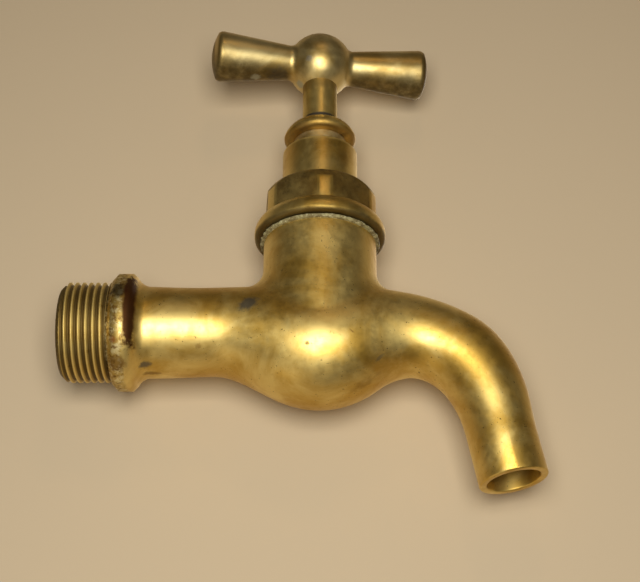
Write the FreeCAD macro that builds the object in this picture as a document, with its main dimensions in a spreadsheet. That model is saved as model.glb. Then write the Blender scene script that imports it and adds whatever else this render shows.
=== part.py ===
import FreeCAD, Part
import math
import os
import re
import Sketcher

# A brass bib tap: a screw-down valve with a threaded inlet, a curved spout and a T-bar handle.
# Frame: +Z along the spindle, upwards; +X from the inlet to the spout; the origin is the centre of
# the collar's wall-side face, on the inlet axis. Millimetres throughout.

doc = FreeCAD.newDocument("bib_tap")
sheet = doc.addObject("Spreadsheet::Sheet", "sizes")

SIZES = {
    # inlet: a parallel pipe thread, and the collar that meets the wall
    "axis_x": 54.0,            # spindle axis from the collar's wall-side face
    "thread_len": 13.5,
    "thread_rad": 13.22,       # crest radius of a 3/4 inch pipe thread
    "thread_pitch": 1.814,     # 14 threads to the inch
    "thread_depth": 1.162,
    "thread_root": 0.30,       # width of the groove's floor
    "flank_run": 0.52,         # the flank's run along the axis for each mm of depth
    "thread_over": 0.3,        # how far the groove's cutter stands out of the crests
    "nose_chamfer": 1.6,
    "relief_len": 0.8,         # turned relief between the thread and the collar
    "relief_rad": 11.9,
    "face_rad": 14.0,          # outer edge of the collar's flat face
    "collar_rad": 15.5,
    "collar_bevel": 1.4,
    "collar_width": 5.0,
    "collar_edge": 1.1,
    "collar_sweep": 3.6,       # length of the hollow flank behind the collar
    "collar_hollow": 4.4,
    "inlet_bore": 8.5,
    # the cast run: place, drop below the inlet axis and radius at each station along it; the
    # places are measured from the spindle axis, back to the collar and forward to the mouth
    "pipe_rad": 12.15,
    "waist_x": 33.0,
    "waist_rad": 11.8,
    "flare_x": 24.0,
    "flare_rad": 12.0,
    "shoulder_x": 17.6,
    "shoulder_drop": 0.9,
    "shoulder_rad": 13.1,
    "flank_x": 9.5,
    "flank_drop": 3.0,
    "flank_under": 0.55,        # flank and rise radii under the neck radius
    "belly_drop": 5.0,
    "belly_over": 0.55,         # belly radius over the neck radius
    "rise_x": 10.5,
    "rise_drop": 2.3,
    "rise_under": 1.0,
    "crest_x": 18.5,
    "crest_drop": 0.95,
    "crest_rad": 12.2,
    "arch_x": 25.2,
    "arch_drop": 1.3,
    "arch_rad": 10.95,
    "bend_x": 31.8,
    "bend_drop": 3.5,
    "bend_rad": 10.5,
    "turn_x": 37.4,
    "turn_drop": 7.3,
    "turn_rad": 10.5,
    "fall_x": 41.3,
    "fall_drop": 12.6,
    "fall_rad": 10.1,
    "lower_x": 44.2,
    "lower_drop": 19.9,
    "lower_rad": 9.45,
    "spout_tilt": 79.5,        # lean of the straight end of the spout, from level
    "mouth_x": 48.3,
    "mouth_drop": 41.3,
    "spout_end": 12.0,         # straight length that a hose slips over
    "spout_rad": 8.85,
    "spout_bore": 6.9,
    "rim_round": 0.5,
    "flush": 0.12,             # how far a fused piece's edge lies under the skin it meets
    # neck and waterway
    "neck_rad": 15.3,
    "neck_top": 26.2,
    "neck_round": 6.0,         # cast radius where the neck meets the belly
    "seat_floor": 4.0,
    "seat_top": 5.5,
    "seat_rad": 7.8,
    "seat_bore": 6.0,
    "chamber_rad": 10.2,
    "sump_rad": 7.5,
    "sump_drop": 8.5,
    "feed_rad": 7.0,
    "feed_back": 25.0,         # where the feed leaves the inlet bore, from the spindle axis
    "feed_front": 3.0,
    "feed_drop": 9.5,
    "outlet_rad": 6.0,
    "outlet_z": 12.5,
    "outlet_mid_x": 10.0,
    "outlet_mid_z": 8.0,
    "outlet_low_x": 18.0,
    "outlet_low_z": 2.8,
    "outlet_step": 0.1,        # the outlet widens towards the mouth in steps of this
    "outlet_sag": 0.4,         # how far it runs below the run's own centre line at the arch
    # headwork
    "gasket_thick": 1.2,
    "gasket_over": 0.95,        # gasket and flange radii over the neck radius
    "bonnet_thread": 12.5,
    "bonnet_skirt": 8.9,
    "flange_over": 2.6,
    "flange_side": 3.6,
    "flange_bevel": 1.8,
    "hex_corner": 16.1,
    "hex_flats": 29.4,
    "hex_turn": 35.0,
    "hex_height": 5.7,
    "dome_height": 5.5,
    "dome_rad": 6.2,
    "barrel_rad": 10.45,
    "barrel_top": 55.5,
    "crown_rad": 9.95,
    "crown_top": 56.0,
    "crown_round": 0.5,
    "screw_end": 30.0,         # top of the bonnet's threaded bore
    "stuffing_plate": 2.5,
    "stuffing_floor": 45.5,
    "stuffing_rad": 7.0,
    # gland
    "gland_rad": 10.17,
    "gland_lift": 4.2,         # how far the cap stands above the crown
    "gland_gap": 0.1,
    "gland_neck": 7.45,
    "gland_tuck": 1.2,
    "gland_rim": 1.4,
    "gland_round": 1.5,
    "gland_dome": 4.35,
    "gland_dome_rad": 6.3,
    "gland_mouth": 0.4,
    "shank_len": 8.0,
    "packing_thick": 1.4,
    "packer_thick": 1.0,
    # spindle and handle
    "stem_rad": 4.95,
    "screw_rad": 6.0,
    "screw_top": 36.0,
    "screw_foot": 12.2,
    "socket_depth": 15.0,
    "tang_side": 6.4,
    "tang_start": 83.0,
    "ball_z": 88.0,
    "ball_rad": 9.5,
    "hub_join": 6.2,           # radius where each arm's hollow root meets the ball
    "hub_hollow": 2.4,
    "arm_root": 9.7,
    "arm_root_rad": 5.15,
    "arm_end": 29.4,
    "arm_end_rad": 7.3,
    "arm_edge": 0.5,
    "arm_edge_len": 0.9,
    "arm_edge_round": 1.1,
    "arm_half": 31.9,
    "bar_turn": 8.9,
    # valve
    "washer_rad": 9.0,
    "washer_thick": 4.0,
    "jumper_rad": 8.6,
    "jumper_thick": 2.5,
    "jumper_stem": 3.0,
    "jumper_stem_len": 14.0,
    "tail_rad": 1.75,
    "tail_end": 1.0,
    "plate_rad": 4.5,
    "plate_thick": 1.0,
    "nut_flats": 7.0,
    "nut_thick": 2.8,
    # clearances
    "run_gap": 0.05,           # radial gap of a part that turns or slides in another
    "fit_gap": 0.02,           # radial gap between pieces that are fixed together
    "skirt_gap": 1.0,          # room under the bonnet's threaded skirt
    "tang_room": 0.5,          # room under the tang in the hub's square hole
    "over": 1.0,               # how far a cutting tool stands out of what it cuts
}

spout_lean = math.radians(SIZES["spout_tilt"])
# sizes that follow from the others by trigonometry
SIZES["spout_run"] = math.cos(spout_lean)
SIZES["spout_fall"] = math.sin(spout_lean)
SIZES["hub_join_x"] = math.sqrt(SIZES["ball_rad"] ** 2 - SIZES["hub_join"] ** 2)
dome_wide = SIZES["arm_end_rad"] - SIZES["arm_edge"]
dome_high = SIZES["arm_half"] - SIZES["arm_end"] - SIZES["arm_edge_len"]
SIZES["arm_dome"] = (dome_wide ** 2 + dome_high ** 2) / (2 * dome_high)
SIZES["hex_point"] = SIZES["hex_flats"] / 2 / math.cos(math.radians(30))
SIZES["nut_point"] = SIZES["nut_flats"] / 2 / math.cos(math.radians(30))
SIZES["feed_tilt"] = math.degrees(
    math.atan2(SIZES["feed_drop"], SIZES["feed_back"] - SIZES["feed_front"]))
SIZES["feed_len"] = math.hypot(SIZES["feed_drop"], SIZES["feed_back"] - SIZES["feed_front"])

for row, (alias, value) in enumerate(SIZES.items(), start=1):
    sheet.set("A%d" % row, alias)
    sheet.set("B%d" % row, str(value))
    sheet.setAlias("B%d" % row, alias)
doc.recompute()


def term(text):
    """The value of one product or quotient of sheet names and plain numbers."""
    top, _, bottom = text.partition("/")
    value = 1.0
    for factor in top.split("*"):
        value *= SIZES[factor] if factor in SIZES else float(factor)
    return value / (float(bottom) if bottom else 1.0)


def number(text):
    """The value of a sum of terms, such as "neck_top + gasket_thick - 2*run_gap"."""
    total = 0.0
    sign = 1.0
    for word in text.split():
        if word in ("+", "-"):
            sign = 1.0 if word == "+" else -1.0
        else:
            total += sign * term(word)
    return total


def linked(text):
    """The same sum as an expression that reads the sheet."""
    return re.sub(r"[a-z]\w*", lambda word: "sizes." + word[0], text)


def bind(obj, **sums):
    """Bind an object's properties to the sheet; a double underscore stands for a dot."""
    for name, text in sums.items():
        obj.setExpression(name.replace("__", "."), linked(text))


def outline(sketch, points):
    """A closed outline, counterclockwise. Each point is (across, up), or (across, up, radius) when
    the edge that leaves it is an arc: a plus radius bulges outwards and a minus one is hollow."""
    here = [FreeCAD.Vector(number(p[0]), number(p[1]), 0) for p in points]
    count = len(points)
    order = []      # which end of each edge, 1 or 2, is its start and which its finish
    for index, point in enumerate(points):
        start, finish = here[index], here[(index + 1) % count]
        radius = number(point[2]) if len(point) == 3 else 0.0
        order.append((2, 1) if radius < 0 else (1, 2))
        if radius == 0.0:
            sketch.addGeometry(Part.LineSegment(start, finish), False)
            continue
        half = (finish - start).Length / 2
        side = FreeCAD.Vector(finish.y - start.y, start.x - finish.x, 0).normalize()
        rise = abs(radius) - math.sqrt(max(radius * radius - half * half, 0.0))
        middle = (start + finish) * 0.5 + side * math.copysign(rise, radius)
        # the sketcher keeps every arc counterclockwise, so a hollow one is drawn backwards
        path = (finish, middle, start) if radius < 0 else (start, middle, finish)
        sketch.addGeometry(Part.Arc(*path), False)
    for index in range(count):
        following = (index + 1) % count
        sketch.addConstraint(Sketcher.Constraint(
            "Coincident", index, order[index][1], following, order[following][0]))
    for index, point in enumerate(points):
        for kind, text in (("DistanceX", point[0]), ("DistanceY", point[1])):
            hold(sketch, kind, index, order[index][0], text)
        if len(point) == 3:
            radius = abs(number(point[2]))
            made = sketch.addConstraint(Sketcher.Constraint("Radius", index, radius))
            sketch.setExpression("Constraints[%d]" % made, "abs(" + linked(point[2]) + ")")


def hold(sketch, kind, index, corner, text):
    """Hold a corner at its distance from the sketch's origin, on either side of it."""
    value = number(text)
    if abs(value) < 1e-9:
        axis = -2 if kind == "DistanceX" else -1
        sketch.addConstraint(Sketcher.Constraint("PointOnObject", index, corner, axis))
        return
    if value > 0:
        made = sketch.addConstraint(Sketcher.Constraint(kind, -1, 1, index, corner, value))
        sketch.setExpression("Constraints[%d]" % made, linked(text))
    else:
        made = sketch.addConstraint(Sketcher.Constraint(kind, index, corner, -1, 1, -value))
        sketch.setExpression("Constraints[%d]" % made, "-(" + linked(text) + ")")


def sketch_on(body, name, role):
    """A sketch on one of a body's own origin planes."""
    sketch = body.newObject("Sketcher::SketchObject", name)
    plane = [item for item in body.Origin.OriginFeatures if item.Role == role][0]
    sketch.AttachmentSupport = [(plane, "")]
    sketch.MapMode = "FlatFace"
    return sketch


def turned(name, points):
    """A piece turned about the spindle axis: (radius, height) all the way round its section."""
    body = doc.addObject("PartDesign::Body", name)
    body.Label = name
    bind(body, Placement__Base__x="axis_x")
    sketch = sketch_on(body, name + "_section", "XZ_Plane")
    outline(sketch, points)
    spin = body.newObject("PartDesign::Revolution", name + "_turned")
    spin.Profile = sketch
    spin.ReferenceAxis = (sketch, ["V_Axis"])
    spin.Angle = 360.0
    doc.recompute()
    return body


def tilted(tilt):
    """The turn that points an object's own +Z along the run, down by tilt degrees from +X."""
    return FreeCAD.Rotation(FreeCAD.Vector(0, 1, 0), 90 + tilt)


def bar(kind, name, across, up, tilt=None, **sums):
    """A cylinder, sphere or prism placed in the plane of the run."""
    made = doc.addObject(kind, name)
    if tilt is not None:
        made.Placement.Rotation = tilted(tilt)
    bind(made, Placement__Base__x=across, Placement__Base__z=up, **sums)
    return made


def smooth_run(name, stations, rings, start, finish):
    """A solid of round section along a smooth bent line. Each station is (across, up, radius), and
    start and finish are the line's directions at its ends, as (across, up)."""
    line = Part.BSplineCurve()
    # one curve carries the centre line in X and Z and the radius in Y
    line.interpolate(
        Points=[FreeCAD.Vector(number(a), number(r), number(u)) for a, u, r in stations],
        InitialTangent=FreeCAD.Vector(start[0], 0, start[1]),
        FinalTangent=FreeCAD.Vector(finish[0], 0, finish[1]))
    low, high = line.FirstParameter, line.LastParameter
    wires = []
    for step in range(rings + 1):
        at = low + (high - low) * step / rings
        point, way = line.value(at), line.tangent(at)[0]
        circle = Part.makeCircle(point.y)
        circle.Placement = FreeCAD.Placement(
            FreeCAD.Vector(point.x, 0, point.z), tilted(math.degrees(math.atan2(-way.z, way.x))))
        wires.append(Part.Wire(circle))
    made = doc.addObject("Part::Feature", name)
    made.Shape = Part.makeLoft(wires, True, False)
    return made


def combined(kind, name, base, tools):
    """A cut of, or a fusion with, several tools."""
    made = doc.addObject("Part::Cut" if kind == "cut" else "Part::MultiFuse", name)
    if kind == "fuse":
        made.Shapes = [base] + tools
        return made
    tool = tools[0]
    if len(tools) > 1:
        tool = doc.addObject("Part::MultiFuse", name + "_tools")
        tool.Shapes = tools
    made.Base = base
    made.Tool = tool
    return made


# --- body: the casting --------------------------------------------------------------------------

SPOUT_TILT = SIZES["spout_tilt"]
mouth = ("axis_x + mouth_x", "0 - mouth_drop")
straight_top = ("axis_x + mouth_x - spout_run*spout_end", "spout_fall*spout_end - mouth_drop")
LEVEL = (1.0, 0.0)
DOWN_SPOUT = (SIZES["spout_run"], -SIZES["spout_fall"])
OUTLET_START = (0.9, -0.42)     # the outlet leaves the chamber at this slope
RUN_RINGS = 36                  # rings that carry each smooth run
OUTLET_RINGS = 24

run = smooth_run("run", [
    ("collar_width", "0", "pipe_rad"),
    ("axis_x - waist_x", "0", "waist_rad"),
    ("axis_x - flare_x", "0", "flare_rad"),
    ("axis_x - shoulder_x", "0 - shoulder_drop", "shoulder_rad"),
    ("axis_x - flank_x", "0 - flank_drop", "neck_rad - flank_under"),
    ("axis_x", "0 - belly_drop", "neck_rad + belly_over"),
    ("axis_x + rise_x", "0 - rise_drop", "neck_rad - rise_under"),
    ("axis_x + crest_x", "0 - crest_drop", "crest_rad"),
    ("axis_x + arch_x", "0 - arch_drop", "arch_rad"),
    ("axis_x + bend_x", "0 - bend_drop", "bend_rad"),
    ("axis_x + turn_x", "0 - turn_drop", "turn_rad"),
    ("axis_x + fall_x", "0 - fall_drop", "fall_rad"),
    ("axis_x + lower_x", "0 - lower_drop", "lower_rad"),
    straight_top + ("spout_rad",),
], RUN_RINGS, LEVEL, DOWN_SPOUT)
neck = bar("Part::Cylinder", "neck", "axis_x", "0 - belly_drop",
           Radius="neck_rad", Height="neck_top + belly_drop")
blank = combined("fuse", "blank", run, [neck])
doc.recompute()


NEAR = 1.0      # an edge within this of the neck's ends isn't its junction with the run


def junction(shape):
    """Where the neck meets the run: the edges low on the neck, all round it."""
    picked = []
    for index, edge in enumerate(shape.Edges, start=1):
        box = edge.BoundBox
        beside = abs(box.Center.x - SIZES["axis_x"]) < SIZES["neck_rad"]
        low, high = -SIZES["belly_drop"] - NEAR, SIZES["neck_top"] - NEAR
        if beside and box.ZMin > low and box.ZMax < high:
            picked.append((index, SIZES["neck_round"], SIZES["neck_round"]))
    return picked


casting = doc.addObject("Part::Fillet", "casting")
casting.Base = blank
casting.Edges = junction(blank.Shape)

# the inlet, turned about the X axis: its section is (radius, distance along +X)
inlet = doc.addObject("PartDesign::Body", "inlet")
inlet.Placement.Rotation = tilted(0)
inlet_section = sketch_on(inlet, "inlet_section", "XZ_Plane")
outline(inlet_section, [
    ("0", "0 - thread_len"),
    ("thread_rad - nose_chamfer", "0 - thread_len"),
    ("thread_rad", "nose_chamfer - thread_len"),
    ("thread_rad", "0 - relief_len"),
    ("relief_rad", "0 - relief_len"),
    ("relief_rad", "0"),
    ("face_rad", "0"),
    ("collar_rad", "collar_bevel"),
    ("collar_rad", "collar_width"),
    ("collar_rad - collar_edge", "collar_width + collar_edge", "0 - collar_hollow"),
    ("pipe_rad - flush", "collar_width + collar_edge + collar_sweep"),
    ("0", "collar_width + collar_edge + collar_sweep"),
])
inlet_turned = inlet.newObject("PartDesign::Revolution", "inlet_turned")
inlet_turned.Profile = inlet_section
inlet_turned.ReferenceAxis = (inlet_section, ["V_Axis"])
inlet_turned.Angle = 360.0

# the thread: one groove swept along a right-hand helix, from off the nose into the relief
helix = doc.addObject("Part::Helix", "thread_helix")
bind(helix, Pitch="thread_pitch", Radius="thread_rad",
     Height="thread_len + thread_pitch - relief_len/2")
groove = doc.addObject("Sketcher::SketchObject", "thread_groove")
groove.Placement.Rotation = FreeCAD.Rotation(FreeCAD.Vector(1, 0, 0), 90)
half_top = "thread_root/2 + flank_run*thread_depth + flank_run*thread_over"
outline(groove, [
    ("thread_rad - thread_depth", "0 - thread_root/2"),
    ("thread_rad + thread_over",
     "0 - thread_root/2 - flank_run*thread_depth - flank_run*thread_over"),
    ("thread_rad + thread_over", half_top),
    ("thread_rad - thread_depth", "thread_root/2"),
])
doc.recompute()
cutter = doc.addObject("Part::Sweep", "thread_cutter")
cutter.Sections = [groove]
cutter.Spine = (helix, ["Edge%d" % (n + 1) for n in range(len(helix.Shape.Edges))])
cutter.Solid = True
cutter.Frenet = True
cutter.Placement.Rotation = tilted(0)
bind(cutter, Placement__Base__x="0 - thread_len - thread_pitch")
threaded = combined("cut", "threaded_inlet", inlet, [cutter])

# the waterway: inlet bore, feed down to the sump, seat, chamber, and the outlet to the mouth
inlet_bore = bar("Part::Cylinder", "inlet_bore_tool", "0 - thread_len - over", "0", 0,
                 Radius="inlet_bore", Height="thread_len + over + axis_x - feed_back")
feed = bar("Part::Cylinder", "feed_tool", "axis_x - feed_back", "0", SIZES["feed_tilt"],
           Radius="feed_rad", Height="feed_len")
chamber = turned("chamber_tool", [
    ("0", "0 - sump_drop - sump_rad", "sump_rad"),
    ("sump_rad", "0 - sump_drop"),
    ("sump_rad", "0"),
    ("seat_bore", "0"),
    ("seat_bore", "seat_top"),
    ("seat_rad", "seat_top"),
    ("seat_rad", "seat_floor"),
    ("chamber_rad", "seat_floor"),
    ("chamber_rad", "neck_top + gasket_thick - bonnet_skirt - skirt_gap"),
    ("bonnet_thread + fit_gap", "neck_top + gasket_thick - bonnet_skirt - skirt_gap"),
    ("bonnet_thread + fit_gap", "neck_top + over"),
    ("0", "neck_top + over"),
])
outlet = smooth_run("outlet_tool", [
    ("axis_x", "outlet_z", "outlet_rad"),
    ("axis_x + outlet_mid_x", "outlet_mid_z", "outlet_rad + outlet_step"),
    ("axis_x + outlet_low_x", "outlet_low_z", "outlet_rad + 2*outlet_step"),
    ("axis_x + arch_x", "0 - arch_drop - outlet_sag", "outlet_rad + 4*outlet_step"),
    ("axis_x + bend_x", "0 - bend_drop - outlet_sag/2", "outlet_rad + 6*outlet_step"),
    ("axis_x + turn_x", "0 - turn_drop", "outlet_rad + 7*outlet_step"),
    ("axis_x + fall_x", "0 - fall_drop", "outlet_rad + 8*outlet_step"),
    ("axis_x + lower_x", "0 - lower_drop", "spout_bore"),
    straight_top + ("spout_bore",),
], OUTLET_RINGS, OUTLET_START, DOWN_SPOUT)
spout_bore = bar("Part::Cylinder", "spout_bore_tool", straight_top[0], straight_top[1],
                 SPOUT_TILT, Radius="spout_bore", Height="spout_end + over")
spout = bar("Part::Cylinder", "spout_end_bar", straight_top[0], straight_top[1], SPOUT_TILT,
            Radius="spout_rad", Height="spout_end")
solid_body = combined("fuse", "solid_body", casting, [threaded, spout])
hollow = combined("cut", "hollow_body", solid_body, [inlet_bore, feed, chamber, outlet, spout_bore])
doc.recompute()


def rim(shape):
    """The two circles of the spout's mouth."""
    centre = FreeCAD.Vector(number(mouth[0]), 0, number(mouth[1]))
    touch = SIZES["rim_round"] / 2
    picked = []
    for index, edge in enumerate(shape.Edges, start=1):
        if not edge.Degenerated and edge.CenterOfMass.distanceToPoint(centre) < touch:
            picked.append((index, SIZES["rim_round"], SIZES["rim_round"]))
    return picked


body = doc.addObject("Part::Fillet", "body")
body.Base = hollow
body.Edges = rim(hollow.Shape)

# --- headwork -----------------------------------------------------------------------------------

flange_under = "neck_top + gasket_thick"
hex_foot = flange_under + " + flange_side + flange_bevel"
hex_top = hex_foot + " + hex_height"

gasket = turned("bonnet_gasket", [
    ("bonnet_thread + run_gap", "neck_top"),
    ("neck_rad + gasket_over", "neck_top"),
    ("neck_rad + gasket_over", flange_under),
    ("bonnet_thread + run_gap", flange_under),
])

bonnet_turned = turned("bonnet_turned", [
    ("screw_rad + run_gap", flange_under + " - bonnet_skirt"),
    ("bonnet_thread", flange_under + " - bonnet_skirt"),
    ("bonnet_thread", flange_under),
    ("neck_rad + flange_over", flange_under),
    ("neck_rad + flange_over", flange_under + " + flange_side"),
    ("hex_corner", hex_foot),
    ("hex_corner", hex_top, "dome_rad"),
    ("barrel_rad", hex_top + " + dome_height"),
    ("barrel_rad", "barrel_top", "crown_round"),
    ("crown_rad", "crown_top"),
    ("stuffing_rad", "crown_top"),
    ("stuffing_rad", "stuffing_floor"),
    ("stem_rad + run_gap", "stuffing_floor"),
    ("stem_rad + run_gap", "stuffing_floor - stuffing_plate"),
    ("stuffing_rad", "stuffing_floor - stuffing_plate"),
    ("stuffing_rad", "screw_end"),
    ("screw_rad + run_gap", "screw_end"),
])
hex_bar = bar("Part::Prism", "hex_bar", "axis_x", hex_foot,
              Circumradius="hex_point", Height="hex_height + dome_height")
hex_bar.Polygon = 6
hex_bar.Placement.Rotation = FreeCAD.Rotation(FreeCAD.Vector(0, 0, 1), SIZES["hex_turn"])
hex_stock = bar("Part::Cylinder", "hex_stock", "axis_x", hex_foot,
                Radius="hex_corner + over", Height="hex_height + dome_height")
hex_waste = combined("cut", "hex_waste", hex_stock, [hex_bar])
bonnet = combined("cut", "bonnet", bonnet_turned, [hex_waste])

gland_under = "crown_top + gland_lift"
gland_nut = turned("gland_nut", [
    ("stem_rad + run_gap", gland_under + " - shank_len"),
    ("stuffing_rad - run_gap", gland_under + " - shank_len"),
    ("stuffing_rad - run_gap", "crown_top + gland_gap"),
    ("gland_neck", "crown_top + gland_gap"),
    ("gland_neck", gland_under),
    ("gland_rad - gland_tuck", gland_under, "gland_round"),
    ("gland_rad", gland_under + " + gland_rim", "gland_dome_rad"),
    ("stem_rad + gland_mouth", gland_under + " + gland_rim + gland_dome"),
    ("stem_rad + run_gap", gland_under + " + gland_rim + gland_dome - gland_mouth"),
])


def packed_ring(name, low, high):
    """A ring in the stuffing box, round the stem, between two heights."""
    return turned(name, [
        ("stem_rad + run_gap", low),
        ("stuffing_rad - run_gap", low),
        ("stuffing_rad - run_gap", high),
        ("stem_rad + run_gap", high),
    ])


packing_foot = "stuffing_floor + packer_thick"
packing_washer = packed_ring("packing_washer", "stuffing_floor", packing_foot)
packing_rings = [
    packed_ring("packing_ring_" + place, "%s + %d*packing_thick" % (packing_foot, level),
                "%s + %d*packing_thick" % (packing_foot, level + 1))
    for level, place in enumerate(("lower", "middle", "upper"))]
gland_follower = packed_ring("gland_follower", packing_foot + " + 3*packing_thick",
                             gland_under + " - shank_len")

# --- spindle and handle -------------------------------------------------------------------------

stem = turned("stem", [
    ("jumper_stem + run_gap", "screw_foot"),
    ("screw_rad", "screw_foot"),
    ("screw_rad", "screw_top"),
    ("stem_rad", "screw_top"),
    ("stem_rad", "tang_start"),
    ("0", "tang_start"),
    ("0", "screw_foot + socket_depth"),
    ("jumper_stem + run_gap", "screw_foot + socket_depth"),
])


def square_bar(name, side, room):
    """A square bar up through the hub, on the spindle axis, turned with the handle. It starts
    lower by room."""
    made = doc.addObject("Part::Box", name)
    bind(made, Length=side, Width=side, Height="ball_z + ball_rad - tang_start + over")
    turn = FreeCAD.Rotation(FreeCAD.Vector(0, 0, 1), SIZES["bar_turn"])
    corner = turn.multVec(FreeCAD.Vector(-number(side) / 2, -number(side) / 2, 0))
    made.Placement = FreeCAD.Placement(
        corner + FreeCAD.Vector(SIZES["axis_x"], 0, SIZES["tang_start"] - number(room)), turn)
    return made


tang_bar = square_bar("tang_bar", "tang_side", "0")
tang_ball = bar("Part::Sphere", "tang_ball", "axis_x", "ball_z", Radius="ball_rad")
tang = doc.addObject("Part::Common", "tang")
tang.Base = tang_bar
tang.Tool = tang_ball
spindle = combined("fuse", "spindle", stem, [tang])

# the T-bar, turned about its own length: its section is (radius, distance along the bar)
tee = doc.addObject("PartDesign::Body", "tee")
tee_section = sketch_on(tee, "tee_section", "XZ_Plane")
outline(tee_section, [
    ("0", "0 - arm_half", "arm_dome"),
    ("arm_end_rad - arm_edge", "0 - arm_end - arm_edge_len", "arm_edge_round"),
    ("arm_end_rad", "0 - arm_end"),
    ("arm_root_rad", "0 - arm_root", "0 - hub_hollow"),
    ("hub_join", "0 - hub_join_x", "ball_rad"),
    ("hub_join", "hub_join_x", "0 - hub_hollow"),
    ("arm_root_rad", "arm_root"),
    ("arm_end_rad", "arm_end", "arm_edge_round"),
    ("arm_end_rad - arm_edge", "arm_end + arm_edge_len", "arm_dome"),
    ("0", "arm_half"),
])
tee_turned = tee.newObject("PartDesign::Revolution", "tee_turned")
tee_turned.Profile = tee_section
tee_turned.ReferenceAxis = (tee_section, ["V_Axis"])
tee_turned.Angle = 360.0
bind(tee, Placement__Base__x="axis_x", Placement__Base__z="ball_z")
tee.Placement.Rotation = FreeCAD.Rotation(FreeCAD.Vector(0, 0, 1), SIZES["bar_turn"]) * tilted(0)
hub_bore = bar("Part::Cylinder", "hub_bore", "axis_x", "ball_z - ball_rad - over",
               Radius="stem_rad + fit_gap", Height="tang_start - ball_z + ball_rad + over")
hub_square = square_bar("hub_square", "tang_side + 2*fit_gap", "tang_room")
handle = combined("cut", "handle", tee, [hub_bore, hub_square])

# --- valve --------------------------------------------------------------------------------------

washer_top = "seat_top + washer_thick"
jumper = turned("valve_jumper", [
    ("0", "tail_end"),
    ("tail_rad", "tail_end"),
    ("tail_rad", washer_top),
    ("jumper_rad", washer_top),
    ("jumper_rad", washer_top + " + jumper_thick"),
    ("jumper_stem", washer_top + " + jumper_thick"),
    ("jumper_stem", washer_top + " + jumper_thick + jumper_stem_len"),
    ("0", washer_top + " + jumper_thick + jumper_stem_len"),
])


def tail_ring(name, radius, low, high):
    """A disc on the jumper's tail, with a hole that fits the tail."""
    return turned(name, [
        ("tail_rad + fit_gap", low),
        (radius, low),
        (radius, high),
        ("tail_rad + fit_gap", high),
    ])


valve_washer = tail_ring("valve_washer", "washer_rad", "seat_top", washer_top)
washer_plate = tail_ring("washer_plate", "plate_rad", "seat_top - plate_thick", "seat_top")
nut_bar = bar("Part::Prism", "nut_bar", "axis_x", "seat_top - plate_thick - nut_thick",
              Circumradius="nut_point", Height="nut_thick")
nut_bar.Polygon = 6
nut_hole = bar("Part::Cylinder", "nut_hole", "axis_x", "0 - over",
               Radius="tail_rad + fit_gap", Height="seat_top")
washer_nut = combined("cut", "washer_nut", nut_bar, [nut_hole])

# --- check and write ----------------------------------------------------------------------------

doc.recompute()

PIECES = [
    body, gasket, bonnet, gland_nut, gland_follower, packing_washer, *packing_rings,
    spindle, handle, jumper, valve_washer, washer_plate, washer_nut,
]
for item in doc.Objects:
    if "Invalid" in item.State or "Error" in item.State:
        raise SystemExit("%s failed: %s" % (item.Name, item.State))
os.makedirs("parts", exist_ok=True)
for piece in PIECES:
    shape = piece.Shape
    if shape.isNull() or not shape.isValid() or len(shape.Solids) != 1:
        raise SystemExit("%s isn't one valid solid" % piece.Label)
    shape.exportStep("parts/%s.step" % piece.Label)
    print("%-20s %10.1f mm3" % (piece.Label, shape.Volume))
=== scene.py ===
# %% [markdown]
# # An old brass bib tap
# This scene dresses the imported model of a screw-down garden tap: a cast body with a threaded
# inlet, a turned headwork with a hexagon, a gland nut, and a T-bar handle on a spindle. The model
# already says where everything is and what moves. What is left is what a plain model never has:
# edges worn round, a hand-turned surface, and brass that has spent decades in the damp.

# %% Load the frame
import math

import bmesh
import bpy
from mathutils import Matrix, Vector, noise


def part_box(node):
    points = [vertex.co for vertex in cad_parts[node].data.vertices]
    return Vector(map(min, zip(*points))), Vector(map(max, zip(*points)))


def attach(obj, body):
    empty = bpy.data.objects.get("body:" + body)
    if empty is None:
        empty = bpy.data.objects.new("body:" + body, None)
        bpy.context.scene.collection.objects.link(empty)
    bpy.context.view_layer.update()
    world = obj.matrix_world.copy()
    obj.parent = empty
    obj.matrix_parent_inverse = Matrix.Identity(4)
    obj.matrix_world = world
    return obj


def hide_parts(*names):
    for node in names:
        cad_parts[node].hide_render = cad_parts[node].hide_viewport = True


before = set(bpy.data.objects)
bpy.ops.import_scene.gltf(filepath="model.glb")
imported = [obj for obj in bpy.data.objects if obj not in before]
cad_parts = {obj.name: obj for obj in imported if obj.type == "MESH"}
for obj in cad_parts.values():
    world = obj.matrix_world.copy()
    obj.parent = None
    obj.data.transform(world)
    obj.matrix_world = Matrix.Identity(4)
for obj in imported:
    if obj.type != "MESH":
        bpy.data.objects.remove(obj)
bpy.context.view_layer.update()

MM = 0.001

# %% [markdown]
# Every place in this lesson is measured from two lines that the model gives: the spindle's axis,
# which is upright, and the inlet's axis, which lies along X through the origin. Reading them from
# the model's own boxes means that the pieces below can't drift away from it.

# %% The two axes
spindle_low, spindle_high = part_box("spindle")
AXIS_X = (spindle_low.x + spindle_high.x) / 2
print("the spindle stands at x = %.1f mm" % (AXIS_X / MM))


def on_spindle(height_mm):
    """A point on the spindle's axis, at a height in millimetres."""
    return Vector((AXIS_X, 0.0, height_mm * MM))


# %% [markdown]
# The camera looks down on a tap that lies on its back, so in the tap's own frame, where the
# spindle is upright, it looks from the front and from below. Three numbers place it: the height
# on the spindle's axis that it looks at, how far off it stands, and how high it looks from.

# %% Camera
LOOK_AT_HEIGHT = 12.5
CAMERA_DISTANCE = 356.3
CAMERA_ELEVATION = -28.5
LENS = 74.8
SENSOR_WIDTH = 36.0
CLIP_START = 10.0

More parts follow.
